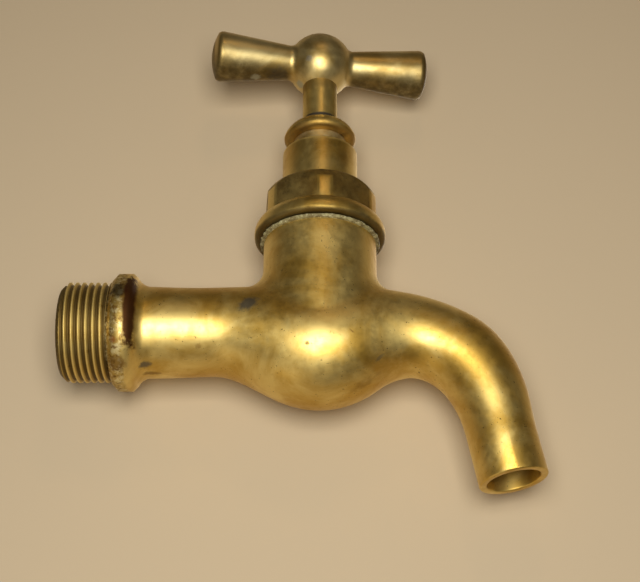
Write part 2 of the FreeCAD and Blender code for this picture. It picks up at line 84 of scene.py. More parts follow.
camera_data = bpy.data.cameras.new("camera")
camera_data.lens = LENS
camera_data.sensor_width = SENSOR_WIDTH
camera_data.clip_start = CLIP_START * MM
camera = bpy.data.objects.new("camera", camera_data)
bpy.context.scene.collection.objects.link(camera)
lean = math.radians(CAMERA_ELEVATION)
towards_camera = Vector((0.0, -math.cos(lean), math.sin(lean)))
camera.location = on_spindle(LOOK_AT_HEIGHT) + towards_camera * CAMERA_DISTANCE * MM
camera.rotation_euler = (-towards_camera).to_track_quat("-Z", "Y").to_euler()
bpy.context.scene.camera = camera

# %% [markdown]
# The floor is a plain pale card that the tap lies on, just behind its widest flange. A card seen
# from behind would hide the tap, so the card's back is transparent: a Light Path isn't needed,
# only the Geometry node's Backfacing output, which is 1 on the side that faces away.

# %% Floor
FLOOR_SIZE = 900.0
CARD_COLOUR = (0.52, 0.42, 0.29)
CARD_ROUGHNESS = 0.85
flange_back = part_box("bonnet")[1].y

bm = bmesh.new()
bmesh.ops.create_grid(bm, x_segments=1, y_segments=1, size=FLOOR_SIZE / 2 * MM)
bmesh.ops.rotate(bm, verts=bm.verts, matrix=Matrix.Rotation(math.radians(90), 3, "X"))
bmesh.ops.translate(bm, verts=bm.verts, vec=(AXIS_X, flange_back, 0.0))
floor_mesh = bpy.data.meshes.new("floor_card")
bm.to_mesh(floor_mesh)
bm.free()
floor = bpy.data.objects.new("floor_card", floor_mesh)
bpy.context.scene.collection.objects.link(floor)
floor.visible_shadow = False

card = bpy.data.materials.new("pale_card")
card.use_nodes = True
card_nodes, card_links = card.node_tree.nodes, card.node_tree.links
card_paint = card_nodes["Principled BSDF"]
card_paint.inputs["Base Color"].default_value = (*CARD_COLOUR, 1.0)
card_paint.inputs["Roughness"].default_value = CARD_ROUGHNESS
card_side = card_nodes.new("ShaderNodeNewGeometry")
card_clear = card_nodes.new("ShaderNodeBsdfTransparent")
card_mix = card_nodes.new("ShaderNodeMixShader")
card_links.new(card_side.outputs["Backfacing"], card_mix.inputs["Fac"])
card_links.new(card_paint.outputs["BSDF"], card_mix.inputs[1])
card_links.new(card_clear.outputs["BSDF"], card_mix.inputs[2])
card_links.new(card_mix.outputs["Shader"], card_nodes["Material Output"].inputs["Surface"])
floor_mesh.materials.append(card)

# %% [markdown]
# Metal shows its surroundings more than its own colour, so the lights matter as much as the
# brass. A soft panel close to the camera draws the broad pale glow down the front of every tube.
# A warm lamp above draws the thin second line along the arms. Two more panels, behind and below,
# keep the back from falling to black when the tap is turned round.

# %% Lights
LIT_HEIGHT = 20.0
WORLD_COLOUR = (1.0, 0.86, 0.66)
WORLD_STRENGTH = 0.075


def panel(name, direction, distance_mm, size_mm, power, colour):
    """A soft square light that faces the middle of the tap from a direction."""
    data = bpy.data.lights.new(name, "AREA")
    data.shape = "SQUARE"
    data.size = size_mm * MM
    data.energy = power
    data.color = colour
    light = bpy.data.objects.new(name, data)
    bpy.context.scene.collection.objects.link(light)
    way = Vector(direction).normalized()
    light.location = on_spindle(LIT_HEIGHT) + way * distance_mm * MM
    light.rotation_euler = (-way).to_track_quat("-Z", "Y").to_euler()


panel("key_panel", (0.0, -0.90, -0.29), distance_mm=420.0, size_mm=220.0, power=1.9,
      colour=(1.0, 0.96, 0.87))
panel("warm_lamp", (0.10, -0.78, 0.62), distance_mm=500.0, size_mm=60.0, power=0.10,
      colour=(1.0, 0.66, 0.34))
panel("back_panel", (0.35, 0.85, 0.45), distance_mm=600.0, size_mm=300.0, power=2.0,
      colour=(1.0, 0.95, 0.88))
panel("low_panel", (-0.5, -0.2, -0.85), distance_mm=600.0, size_mm=300.0, power=0.35,
      colour=WORLD_COLOUR)

world = bpy.data.worlds.new("studio")
world.use_nodes = True
world.node_tree.nodes["Background"].inputs["Color"].default_value = (*WORLD_COLOUR, 1.0)
world.node_tree.nodes["Background"].inputs["Strength"].default_value = WORLD_STRENGTH
bpy.context.scene.world = world
bpy.context.scene.view_settings.view_transform = "Standard"

# %% [markdown]
# Every new piece here is either turned or cast, so two helpers do most of the modelling. The first
# is a pen that draws half the section of a turned piece, as a turner's template does. A straight
# cut is an edge, and a round cut is one vertex swept by the spin operator. A corner can be
# softened with a vertex bevel, which is how wear is drawn before the piece is even round.

# %% The turner's pen
TURN_STEPS = 128
WELD = 0.002


class Section:
    """Half a turned piece's section in millimetres: the radius, and the height on its axis."""

    def __init__(self, radius, height):
        self.bm = bmesh.new()
        self.first = self.tip = self.bm.verts.new((radius, 0.0, height))
        self.worn = []

    def line(self, radius, height, soft=0.0):
        """A straight cut to a corner, which is worn round by soft millimetres."""
        corner = self.bm.verts.new((radius, 0.0, height))
        self.bm.edges.new((self.tip, corner))
        self.tip = corner
        if soft:
            self.worn.append((corner, soft))
        return self

    def arc(self, radius, height, bend, steps=10):
        """A round cut to a point, whose radius is bend. Drawn upwards, a plus bend bulges
        outwards and a minus one is hollow."""
        start, end = self.tip.co.copy(), Vector((radius, 0.0, height))
        chord = end - start
        half = chord.length / 2
        left = Vector((-chord.z, 0.0, chord.x)).normalized()
        centre = (start + end) / 2 + left * math.copysign(math.sqrt(bend ** 2 - half ** 2), bend)
        swept = math.copysign(2 * math.asin(half / abs(bend)), bend)
        made = bmesh.ops.spin(
            self.bm, geom=[self.tip], cent=centre, axis=(0.0, -1.0, 0.0), angle=swept,
            steps=steps, use_merge=False, use_duplicate=False)
        self.tip = [item for item in made["geom_last"] if isinstance(item, bmesh.types.BMVert)][0]
        return self

    def close(self):
        """The last cut back to the first point, for a section that never touches the axis."""
        self.bm.edges.new((self.tip, self.first))
        return self

    def turned(self, steps=TURN_STEPS):
        """The whole piece, spun about its axis, with its poles welded and its faces outwards."""
        for corner, soft in self.worn:
            bmesh.ops.bevel(
                self.bm, geom=[corner], offset=soft, offset_type="OFFSET", segments=4,
                profile=0.5, affect="VERTICES", material=-1)
        bmesh.ops.spin(
            self.bm, geom=self.bm.verts[:] + self.bm.edges[:], cent=(0, 0, 0), axis=(0, 0, 1),
            angle=math.tau, steps=steps, use_merge=True, use_duplicate=False)
        bmesh.ops.remove_doubles(self.bm, verts=self.bm.verts, dist=WELD)
        bmesh.ops.recalc_face_normals(self.bm, faces=self.bm.faces)
        return self.bm


# %% [markdown]
# The second helper turns a bmesh in millimetres into a finished piece: it is placed, shaded
# smooth with its real corners left sharp, given its material, and tied to the body it moves with,
# and the model's nodes that it stands for are hidden.

# %% Finishing a piece
UPRIGHT = Matrix.Translation((AXIS_X, 0.0, 0.0))
SHARP_ANGLE = 38.0


def make_piece(bm, name, place, body, nodes, material):
    """A mesh piece, in place, which rides on a body and stands for the model's nodes."""
    bmesh.ops.transform(bm, matrix=place @ Matrix.Scale(MM, 4), verts=bm.verts)
    mesh = bpy.data.meshes.new(name)
    bm.to_mesh(mesh)
    bm.free()
    mesh.shade_smooth()
    mesh.set_sharp_from_angle(angle=math.radians(SHARP_ANGLE))
    mesh.materials.append(material)
    obj = bpy.data.objects.new(name, mesh)
    bpy.context.scene.collection.objects.link(obj)
    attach(obj, body)
    if nodes:
        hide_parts(*nodes)
    print("%-14s %6d faces" % (name, len(mesh.polygons)))


# %% [markdown]
# ## Old brass
# Old brass isn't one colour. Under a thin skin of tarnish it is pale gold where it is rubbed,
# olive where it is handled, and brown where nothing touches it. So a finish here is built in
# layers on Object coordinates: broad tarnish, mottling, small dark pits, and hairline scratches.
# Each layer is a noise with its own size in millimetres. A Value node for metallic would be lost
# on export, so numbers that don't vary sit on the shader's own sockets.

# %% The layers of a finish
# A mark's ragged edge: its noise's size as a share of the reach and at most in mm, how far the
# noise pushes the edge, and where the mark has faded out, both as shares of the reach.
EDGE_PATCH, EDGE_PATCH_MOST = 0.45, 1.6
RAGGED, FADED = 0.9, 0.9
WANDER_PATCH = 3.0


class Finish:
    """A material built up in layers. Colours are linear RGB, and sizes are in millimetres."""

    def __init__(self, name, metallic=1.0):
        self.material = bpy.data.materials.new(name)
        self.material.use_nodes = True
        self.tree = self.material.node_tree
        self.paint = self.tree.nodes["Principled BSDF"]
        self.paint.inputs["Metallic"].default_value = metallic
        self.place = self.add("ShaderNodeTexCoord").outputs["Object"]

    def add(self, kind, **settings):
        """A node with some of its properties set."""
        node = self.tree.nodes.new(kind)
        for key, value in settings.items():
            setattr(node, key, value)
        return node

    def feed(self, node, **values):
        """Sets a node's inputs, by name, to a number, a colour or another node's output."""
        for key, value in values.items():
            socket = node.inputs[key.replace("_", " ")]
            if isinstance(value, bpy.types.NodeSocket):
                self.tree.links.new(value, socket)
            else:
                socket.default_value = value
        return node

    def stretched(self, along, turn=(0.0, 0.0, 0.0)):
        """Object coordinates scaled unevenly, so that a noise becomes streaks."""
        node = self.add("ShaderNodeMapping")
        self.feed(node, Vector=self.place, Scale=along, Rotation=turn)
        return node.outputs["Vector"]

    def noise(self, size_mm, detail=4.0, roughness=0.55, place=None, distortion=0.0):
        """A cloudy pattern from 0 to 1 whose patches are about this size."""
        node = self.add("ShaderNodeTexNoise")
        self.feed(node, Vector=place or self.place, Scale=1 / (size_mm * MM), Detail=detail,
                  Roughness=roughness, Distortion=distortion)
        return node.outputs["Fac"]

    def between(self, value, low, high, out_low=0.0, out_high=1.0):
        """A smooth step: out_low below low, out_high above high."""
        node = self.add("ShaderNodeMapRange", interpolation_type="SMOOTHSTEP")
        self.feed(node, Value=value, From_Min=low, From_Max=high, To_Min=out_low, To_Max=out_high)
        return node.outputs["Result"]

    def sum(self, kind, first, second):
        """Two numbers put together by a Math node, such as MULTIPLY or MAXIMUM."""
        node = self.add("ShaderNodeMath", operation=kind)
        for socket, value in zip(node.inputs, (first, second)):
            if isinstance(value, bpy.types.NodeSocket):
                self.tree.links.new(value, socket)
            else:
                socket.default_value = value
        return node.outputs["Value"]

    def mix(self, amount, flange_underside_shade, over):
        """One colour over another, by an amount from 0 to 1."""
        node = self.add("ShaderNodeMix", data_type="RGBA")
        for name, value in (("Factor_Float", amount), ("A_Color", flange_underside_shade), ("B_Color", over)):
            socket = next(s for s in node.inputs if s.identifier == name)
            if isinstance(value, bpy.types.NodeSocket):
                self.tree.links.new(value, socket)
            else:
                socket.default_value = value if name == "Factor_Float" else (*value, 1.0)
        return next(s for s in node.outputs if s.identifier == "Result_Color")

    def near(self, point_mm, reach_mm, core=0.35, squash=(1.0, 1.0, 1.0), slant=0.0):
        """1 at a point, fading raggedly to 0 near its reach. squash sets the patch's share of
        the reach along each axis, and slant turns it, in degrees, as the camera sees it."""
        offset = self.add("ShaderNodeMapping", vector_type="TEXTURE")
        self.feed(offset, Vector=self.place, Location=[at * MM for at in point_mm],
                  Rotation=Matrix.Rotation(math.radians(slant), 3, towards_camera).to_euler(),
                  Scale=[reach_mm * MM * wide for wide in squash])
        length = self.add("ShaderNodeVectorMath", operation="LENGTH")
        self.tree.links.new(offset.outputs["Vector"], length.inputs[0])
        edge = self.noise(min(reach_mm * EDGE_PATCH, EDGE_PATCH_MOST), 5.0)
        distance = self.sum("ADD", length.outputs["Value"], self.sum("MULTIPLY", edge, RAGGED))
        return self.between(distance, FADED + RAGGED / 2, core + RAGGED / 2)

    def radius(self, start=(AXIS_X, 0.0, 0.0), across=(1.0, 1.0, 0.0)):
        """How far a point lies from an axis, in metres: the spindle's, unless another is given."""
        flat = self.add("ShaderNodeMapping")
        self.feed(flat, Vector=self.place, Location=[-at for at in start], Scale=across)
        length = self.add("ShaderNodeVectorMath", operation="LENGTH")
        self.tree.links.new(flat.outputs["Vector"], length.inputs[0])
        return length.outputs["Value"]

    def height(self, axis="Z"):
        """How far along an axis of the tap a point lies, in metres."""
        node = self.add("ShaderNodeSeparateXYZ")
        self.tree.links.new(self.place, node.inputs["Vector"])
        return node.outputs[axis]

    def band(self, low_mm, high_mm, soft_mm=0.6, axis="Z", ragged_mm=0.0):
        """1 between two heights, with soft and, if wanted, ragged ends."""
        at = self.height(axis)
        if ragged_mm:
            wander = self.sum("SUBTRACT", self.noise(WANDER_PATCH), 0.5)
            at = self.sum("ADD", at, self.sum("MULTIPLY", wander, 2 * ragged_mm * MM))
        over = self.between(at, (low_mm - soft_mm) * MM, (low_mm + soft_mm) * MM)
        flange_underside_shade = self.between(at, (high_mm + soft_mm) * MM, (high_mm - soft_mm) * MM)
        return self.sum("MULTIPLY", over, flange_underside_shade)

    def finish(self, colour, roughness, bumps):
        """Joins the layers to the shader. bumps are (height, strength, depth in mm)."""
        self.feed(self.paint, Base_Color=colour, Roughness=roughness)
        normal = None
        for height, strength, depth_mm in bumps:
            node = self.add("ShaderNodeBump")
            self.feed(node, Height=height, Strength=strength, Distance=depth_mm * MM)
            if normal is not None:
                self.feed(node, Normal=normal)
            normal = node.outputs["Normal"]
        self.feed(self.paint, Normal=normal)
        return self.material


# %% [markdown]
# All the brass shares one recipe, and each piece varies it: how much tarnish it has, how deep its
# pits are, which stains it has picked up, and where shade or a highlight is painted on it. These
# marks come as a list of (amount, colour), where the amount is a layer, so that a piece's own
# marks are stated where the piece is made.

# %% The brass recipe
RUBBED = (0.73, 0.56, 0.20)
GOLDEN = (0.52, 0.33, 0.065)
BROWN = (0.19, 0.10, 0.022)
SOOT = (0.035, 0.024, 0.014)
BROAD_MM, MOTTLE_MM, SPARSE_MM = 16.0, 2.6, 9.0
FRECKLE_MM, PIT_MM, GRAIN_MM, HAIR_MM = 0.9, 0.60, 0.45, 0.16


def old_brass(name, rubbed=RUBBED, golden=GOLDEN, brown=BROWN, tarnish=0.5, pits=0.5,
              rough=(0.37, 0.48), marks=None):
    """Aged brass. tarnish and pits run from 0, none, to 1, all over."""
    f = Finish(name)
    broad = f.noise(BROAD_MM, 5.0, 0.6, distortion=0.6)
    mottle = f.noise(MOTTLE_MM, 6.0, 0.62)
    colour = f.mix(f.between(broad, 0.35, 0.66), rubbed, golden)
    dull = f.sum("ADD", f.sum("MULTIPLY", mottle, 0.55), f.sum("MULTIPLY", broad, 0.45))
    dull = f.between(dull, 0.62 - 0.20 * tarnish, 0.82 - 0.20 * tarnish, 0.0, 0.10 + 0.5 * tarnish)
    colour = f.mix(dull, colour, brown)
    freckle = f.between(f.noise(FRECKLE_MM, 3.0, 0.7), 0.60, 0.74, 0.0, 0.08 + 0.2 * tarnish)
    colour = f.mix(freckle, colour, brown)
    speck = f.noise(PIT_MM, 3.0, 0.6)
    pit = f.between(speck, 0.715 - 0.06 * pits, 0.760 - 0.06 * pits)
    sparse = f.between(f.noise(SPARSE_MM, 3.0), 0.38, 0.58, 0.15, 1.0)
    pit = f.sum("MULTIPLY", pit, sparse)
    colour = f.mix(f.sum("MULTIPLY", pit, 0.85), colour, SOOT)
    # This gathers every mark's amount: real stains, and the painted shade and highlights that some
    # pieces carry.
    stain_and_painted_light = 0.0
    for amount, tint in marks(f) if marks else ():
        colour = f.mix(amount, colour, tint)
        stain_and_painted_light = f.sum("MAXIMUM", stain_and_painted_light, amount)
    hair_one = f.noise(HAIR_MM, 2.0, 0.5, f.stretched((1.0, 1.0, 0.07), (0.5, 0.2, 0.0)))
    hair_two = f.noise(HAIR_MM, 2.0, 0.5, f.stretched((0.06, 1.0, 1.0), (0.1, 0.4, 0.6)))
    hair = f.sum("MULTIPLY", f.sum("ADD", hair_one, hair_two), 0.5)
    low, high = rough
    gloss = f.between(f.sum("ADD", f.sum("MULTIPLY", mottle, 0.7), f.sum("MULTIPLY", hair, 0.3)),
                      0.36, 0.66, low, high)
    gloss = f.sum("ADD", gloss, f.sum("MULTIPLY", dull, 0.16))
    if marks:
        gloss = f.sum("ADD", gloss, f.sum("MULTIPLY", stain_and_painted_light, 0.18))
    worn = f.sum("SUBTRACT", f.sum("MULTIPLY", mottle, 0.6), pit)
    return f.finish(colour, gloss, [(hair, 0.10, 0.02), (f.noise(GRAIN_MM, 3.0), 0.07, 0.05),
                                    (worn, 0.25, 0.05)])


# %% [markdown]
# A mark on the front of a level tube is named by its place along the tube and by how far above or
# below the tube's middle line the camera sees it. On an upright tube it is named by its height and
# by how far right of the middle line it lies.

# %% Where a mark lies
SEEN_UP = Vector((0.0, math.sin(lean), math.cos(lean)))


def on_tube(x_mm, up_mm, radius_mm, middle_mm=0.0):
    """The point in mm on the front of a level tube that is seen up_mm above its middle line."""
    out = math.sqrt(max(radius_mm ** 2 - up_mm ** 2, 0.0))
    return Vector((x_mm, 0.0, middle_mm)) + SEEN_UP * up_mm + towards_camera * out


def on_post(z_mm, right_mm, radius_mm):
    """The point in mm on the front of an upright tube that is seen right_mm from its middle."""
    out = math.sqrt(max(radius_mm ** 2 - right_mm ** 2, 0.0))
    return Vector((AXIS_X / MM + right_mm, -out, z_mm))


# %% [markdown]
# ## The cast body
# The body is one casting: inlet, collar, belly and spout. The model's own surface is right here,
# thread and all, but it arrives as separate faces. Welding them lets one smooth shading run over
# the whole casting, and its real corners are found again by angle.

# %% The body
CREAM = (0.80, 0.72, 0.42)
RUST = (0.30, 0.07, 0.015)
BLOOD_BROWN = (0.055, 0.014, 0.006)
SLATE = (0.085, 0.085, 0.080)
VERDIGRIS = (0.33, 0.30, 0.15)
OLD_GREASE = (0.105, 0.068, 0.022)
RING_SKIN = (0.30, 0.21, 0.06)
MOUTH_SKIN = (0.20, 0.13, 0.035)
# Where the casting's parts lie: the mouth in mm from the spindle's axis and below the inlet's,
# the spans along X in mm from the wall face, and the thread's radii in metres.
MOUTH_REACH, MOUTH_DROP = 48.3, 41.3
THREAD_SPAN = (-20.0, -0.3)
VALLEY_RADII = (12.95 * MM, 12.35 * MM)
CREST_RADII = (13.00 * MM, 13.18 * MM)
COLLAR_SPAN = (-0.6, 3.9)
LONG = (1.0, 0.28, 0.28)


def cast_marks(f):
    """What the casting has picked up, from the collar to the mouth, with painted shade on the
    collar's lower side and a painted dark reflection on its flank.
    """
    middle = AXIS_X / MM

    def smudge(x_mm, up_mm, radius_mm, reach_mm, amount, tint, slant=0.0, squash=(1.0, 1.0, 1.0),
               middle_mm=0.0):
        """A patch of one colour on the front of a level tube, as strong as its amount."""
        spot = f.near(on_tube(x_mm, up_mm, radius_mm, middle_mm), reach_mm, 0.35, squash, slant)
        return f.sum("MULTIPLY", spot, amount), tint

    cut = f.band(*THREAD_SPAN, 0.2, "X")
    from_inlet = f.radius((0.0, 0.0, 0.0), (0.0, 1.0, 1.0))
    valley = f.sum("MULTIPLY", cut, f.between(from_inlet, *VALLEY_RADII, 0.25, 0.92))
    crest = f.sum("MULTIPLY", cut, f.between(from_inlet, *CREST_RADII, 0.0, 0.85))
    ring = f.band(*COLLAR_SPAN, 0.5, "X", 0.5)
    cream = f.sum("MULTIPLY", ring, f.between(f.noise(1.9, 6.0, 0.65), 0.47, 0.60, 0.0, 0.6))
    dirt = f.sum("MULTIPLY", ring, f.between(f.noise(1.3, 6.0, 0.7), 0.49, 0.62, 0.0, 0.85))
    # The flank band is reddish-brown patina, and it also paints the dark reflection on the
    # collar's flank towards the body.
    rag = f.near(on_tube(5.2, 7.0, 14.0), 13.5, 0.6, (0.30, 1.0, 1.0))
    flank = f.sum("MULTIPLY", rag, f.band(3.9, 6.9, 0.6, "X", 0.7))
    mouth = f.near((middle + MOUTH_REACH, 0.0, -MOUTH_DROP), 9.6, 0.9, (1.3, 1.2, 0.30))
    return [
        (valley, OLD_GREASE),
        (crest, RUBBED),
        (f.sum("MULTIPLY", ring, 0.45), RING_SKIN),
        (cream, CREAM),
        (dirt, BROWN),
        smudge(1.9, -1.2, 15.0, 1.5, 0.6, RUST),
        # This brown patch paints shade on the lower side of the collar.
        smudge(2.6, -7.0, 15.0, 3.4, 0.7, BROWN),
        smudge(2.4, 11.0, 15.2, 3.6, 0.8, SOOT),
        # Patina, and a painted dark reflection, on the collar's flank.
        (f.sum("MULTIPLY", flank, 0.95), BLOOD_BROWN),
        smudge(8.9, -7.8, 12.0, 2.4, 0.75, SLATE, 10.0, (1.2, 0.7, 0.7)),
        smudge(10.4, -10.2, 12.0, 2.6, 0.6, BROWN, 0.0, (1.3, 0.5, 0.5)),
        smudge(22.9, -3.1, 11.9, 1.2, 0.5, BROWN),
        smudge(33.6, -5.7, 12.4, 3.0, 0.7, BROWN, -48.0, LONG),
        smudge(middle - 18.4, 8.6, 12.8, 3.7, 0.85, SLATE, 35.0, (1.35, 0.65, 0.8), -0.8),
        smudge(middle - 3.2, 2.4, 15.8, 0.8, 0.7, BROWN, middle_mm=-5.0),
        smudge(middle + 7.9, 4.0, 14.9, 1.6, 0.7, BROWN, -42.0, LONG, -3.4),
        smudge(middle + 14.5, -4.7, 13.4, 3.2, 0.55, SLATE, 32.0, LONG, -1.7),
        smudge(middle + 10.5, -9.5, 14.2, 4.5, 0.35, BROWN, 30.0, (1.4, 0.6, 0.8), -2.3),
        (f.sum("MULTIPLY", mouth, 0.5), MOUTH_SKIN),
    ]


cast_brass = old_brass("cast_brass", tarnish=0.30, pits=1.0, rough=(0.41, 0.52), marks=cast_marks)

bm = bmesh.new()
bm.from_mesh(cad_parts["body"].data)
bmesh.ops.remove_doubles(bm, verts=bm.verts, dist=WELD * MM / 2)
bmesh.ops.scale(bm, verts=bm.verts, vec=(1 / MM, 1 / MM, 1 / MM))
make_piece(bm, "cast_body", Matrix(), "housing", ["body"], cast_brass)

# %% [markdown]
# ## The headwork
# The headwork is turned first and milled second, like the real one. The lathe gives the flange,
# the dome and the barrel, and a boolean then cuts the hexagon with a ring that is round outside
# and six-sided inside. Where the flats meet the dome, the cut draws its own curved edges.

# %% The bonnet
HEX_FLATS = 29.4
HEX_TURN = 35.0
HEX_LOW, HEX_HIGH = 32.8, 44.3
HEX_CORNER = 16.1
CUTTER_WALL = 4.0
FLANGE_RAD, FLANGE_LOW, FLANGE_TOP = 17.9, 27.4, 31.0
BARREL_RAD, BARREL_TOP = 10.45, 56.0
GRIME = (0.17, 0.105, 0.028)


def cut_hexagon(bm):
    """Mills six flats on a turned bmesh, and returns a new bmesh."""
    ring = bmesh.new()
    corner = HEX_FLATS / 2 / math.cos(math.radians(30))
    turn = Matrix.Rotation(math.radians(HEX_TURN), 4, "Z")
    inner = [turn @ Vector((corner * math.cos(math.radians(60 * k)),
                            corner * math.sin(math.radians(60 * k)), HEX_LOW)) for k in range(6)]
    outer = [point * (HEX_CORNER + CUTTER_WALL) / corner for point in inner]
    for point in outer:
        point.z = HEX_LOW
    low_in, low_out = ([ring.verts.new(p) for p in loop] for loop in (inner, outer))
    low_faces = []
    for k in range(6):
        after = (k + 1) % 6
        low_faces.append(ring.faces.new((low_in[k], low_in[after], low_out[after], low_out[k])))
    raised = bmesh.ops.extrude_face_region(ring, geom=low_faces)
    tops = [item for item in raised["geom"] if isinstance(item, bmesh.types.BMVert)]
    bmesh.ops.translate(ring, verts=tops, vec=(0, 0, HEX_HIGH - HEX_LOW))
    bmesh.ops.recalc_face_normals(ring, faces=ring.faces)
    objects = []
    for name, source in (("stock", bm), ("cutter", ring)):
        mesh = bpy.data.meshes.new(name)
        source.to_mesh(mesh)
        source.free()
        objects.append(bpy.data.objects.new(name, mesh))
        bpy.context.scene.collection.objects.link(objects[-1])
    stock, cutter = objects
    cut = stock.modifiers.new("flats", "BOOLEAN")
    cut.operation, cut.solver, cut.object = "DIFFERENCE", "EXACT", cutter
    bpy.context.view_layer.update()
    milled = bmesh.new()
    milled.from_object(stock, bpy.context.evaluated_depsgraph_get())
    for obj in objects:
        bpy.data.objects.remove(obj)
    bmesh.ops.remove_doubles(milled, verts=milled.verts, dist=WELD)
    return milled


def bonnet_marks(f):
    """Grime on the milled flats, clean corners between them, and painted shade under the flange.
    """
    flats = f.band(33.0, 43.4, 0.5, "Z", 0.4)
    corners = f.between(f.radius(), 15.80 * MM, 16.02 * MM)
    flats = f.sum("MULTIPLY", flats, f.sum("SUBTRACT", 1.0, corners))
    dark = f.sum("MULTIPLY", flats, f.between(f.noise(4.5, 6.0, 0.65), 0.34, 0.66, 0.50, 0.88))
    smoky = f.sum("MULTIPLY", flats, f.between(f.noise(1.7, 5.0, 0.7), 0.52, 0.68, 0.0, 0.35))
    # Painted shade on the flange's underside, where it overhangs the gasket.
    flange_underside_shade = f.sum("MULTIPLY", f.band(25.0, 28.4, 0.5, "Z", 0.5), 0.75)
    return [
        (dark, GRIME),
        (smoky, SOOT),
        (f.sum("MULTIPLY", f.near(on_post(50.0, 6.0, 10.4), 4.0), 0.35), BROWN),
        # Painted shade under the flange.
        (flange_underside_shade, SOOT),
        (f.sum("MULTIPLY", f.band(55.2, 56.4, 0.3, "Z", 0.2), 0.6), RUBBED),
    ]


turned_brass = old_brass("turned_brass", tarnish=0.40, pits=0.4, marks=bonnet_marks)

section = Section(6.05, 18.5)
section.line(12.5, 18.5, 0.4).line(12.5, FLANGE_LOW)
section.line(FLANGE_RAD, FLANGE_LOW, 1.3).line(FLANGE_RAD, FLANGE_TOP, 1.3)
section.line(HEX_CORNER, HEX_LOW).line(HEX_CORNER, 38.5)
section.arc(10.95, 43.7, 6.2, 14).arc(BARREL_RAD, 44.7, -1.4, 4)
section.line(BARREL_RAD, BARREL_TOP, 0.45).line(7.0, BARREL_TOP)
section.line(7.0, 45.5).line(5.0, 45.5).line(5.0, 43.0)
section.line(7.0, 43.0).line(7.0, 30.0).line(6.05, 30.0).close()
make_piece(cut_hexagon(section.turned()), "bonnet_turned", UPRIGHT, "housing",
           ["bonnet"], turned_brass)

# %% [markdown]
# The gland nut squeezes the packing down round the spindle. It is turned from the same bar, so it
# keeps the same brass, and its rim has been polished by every hand that has reached for the tap.
# A pale band round the rim also paints its highlight, and a dark band paints the shade beneath it.

# %% The gland nut
NECK_RAD, NECK_TOP = 7.45, 60.2
GLAND_RAD = 10.17
PALE_NECK = (0.62, 0.52, 0.30)


def gland_marks(f):
    """A pale neck, painted shade on the underside, and a cap that is rubbed round its widest part,
    where a painted highlight also runs.
    """
    neck = f.sum("MULTIPLY", f.band(55.0, 60.1, 0.2),
                 f.between(f.noise(2.4, 5.0), 0.3, 0.6, 0.3, 0.8))
    return [
        (neck, PALE_NECK),
        # Painted shade on the nut's underside.
        (f.sum("MULTIPLY", f.band(60.0, 61.3, 0.3, "Z", 0.2), 0.65), BROWN),
        # Rubbed brass round the widest part, which also paints the rim's highlight.
        (f.sum("MULTIPLY", f.band(61.5, 62.3, 0.3, "Z", 0.2), 0.45), RUBBED),
        (f.sum("MULTIPLY", f.near(on_post(61.5, -4.5, 9.0), 3.2), 0.4), BROWN),
        (f.sum("MULTIPLY", f.near(on_post(61.2, 6.5, 7.8), 2.4), 0.5), SOOT),
    ]


gland_brass = old_brass("gland_brass", tarnish=0.35, pits=0.35, marks=gland_marks)

section = Section(5.0, 52.2)
section.line(6.95, 52.2).line(6.95, 56.1).line(NECK_RAD, 56.1).line(NECK_RAD, NECK_TOP)
section.line(8.97, NECK_TOP).arc(GLAND_RAD, 61.6, 1.5, 8).arc(5.35, 65.95, 6.3, 14)
section.line(5.0, 65.55).close()
make_piece(section.turned(), "gland_ring", UPRIGHT, "housing", ["gland_nut"],
           gland_brass)

# %% [markdown]
# The fibre washer between body and headwork has swollen and weeps a pale green crust. Its edge is
# pushed in and out by a noise that runs round it, so its outline is as uneven as it looks.

# %% The gasket
CRUST_DARK, CRUST_PALE = (0.15, 0.115, 0.045), (0.42, 0.38, 0.22)
CRUST_STEPS = 192
CRUST_EDGE, CRUST_SWELL = 15.4, 0.30

crust = Finish("gasket_crust", metallic=0.0)
cloud = crust.noise(1.6, 6.0, 0.65)
crust_colour = crust.mix(crust.between(cloud, 0.42, 0.66), CRUST_DARK, VERDIGRIS)
crust_colour = crust.mix(crust.between(crust.noise(0.7, 3.0), 0.52, 0.66), crust_colour,
                         CRUST_PALE)
crust.finish(crust_colour, crust.between(cloud, 0.3, 0.7, 0.65, 0.92),
             [(crust.noise(0.5, 4.0), 0.6, 0.15)])

section = Section(12.55, 26.2)
section.line(16.25, 26.2, 0.4).line(16.25, 27.1, 0.3).line(15.0, 27.1).line(15.0, 27.4)
section.line(12.55, 27.4).close()
bm = section.turned(CRUST_STEPS)
for vert in bm.verts:
    out = Vector((vert.co.x, vert.co.y, 0.0))
    if out.length > CRUST_EDGE:
        vert.co += out.normalized() * CRUST_SWELL * noise.fractal(vert.co * 0.9, 1.0, 2.0, 4)
make_piece(bm, "gasket_ring", UPRIGHT, "housing", ["bonnet_gasket"],
           crust.material)

# %% [markdown]
# ## Handle and spindle
# The T-bar is one turned piece: two arms that swell towards domed ends, and a ball between them.
# The whole of it is drawn from one end to the other, so the hollow where each arm meets the ball
# is just one more arc. It is then laid on its side and turned a little, as the last hand left it.

# %% The handle
BALL_HEIGHT = 88.0
BALL_RAD = 9.5
BAR_TURN = 8.9
ARM_END, ARM_SHOULDER = 30.3, 29.4
ARM_RAD, ARM_ROOT_RAD = 7.3, 5.15
DOME_TIP, DOME_BEND = 31.9, 15.25
ARM_LOW_SIDE_TONE, END_CAP_TONE = (0.095, 0.068, 0.026), (0.12, 0.080, 0.028)
SCALE_PALE, SCALE_GREY, SMOKE = (0.45, 0.44, 0.33), (0.42, 0.41, 0.31), (0.16, 0.17, 0.18)
BAR_PLACE = (Matrix.Translation((AXIS_X, 0.0, BALL_HEIGHT * MM))
             @ Matrix.Rotation(math.radians(BAR_TURN), 4, "Z")
             @ Matrix.Rotation(math.radians(90), 4, "Y"))


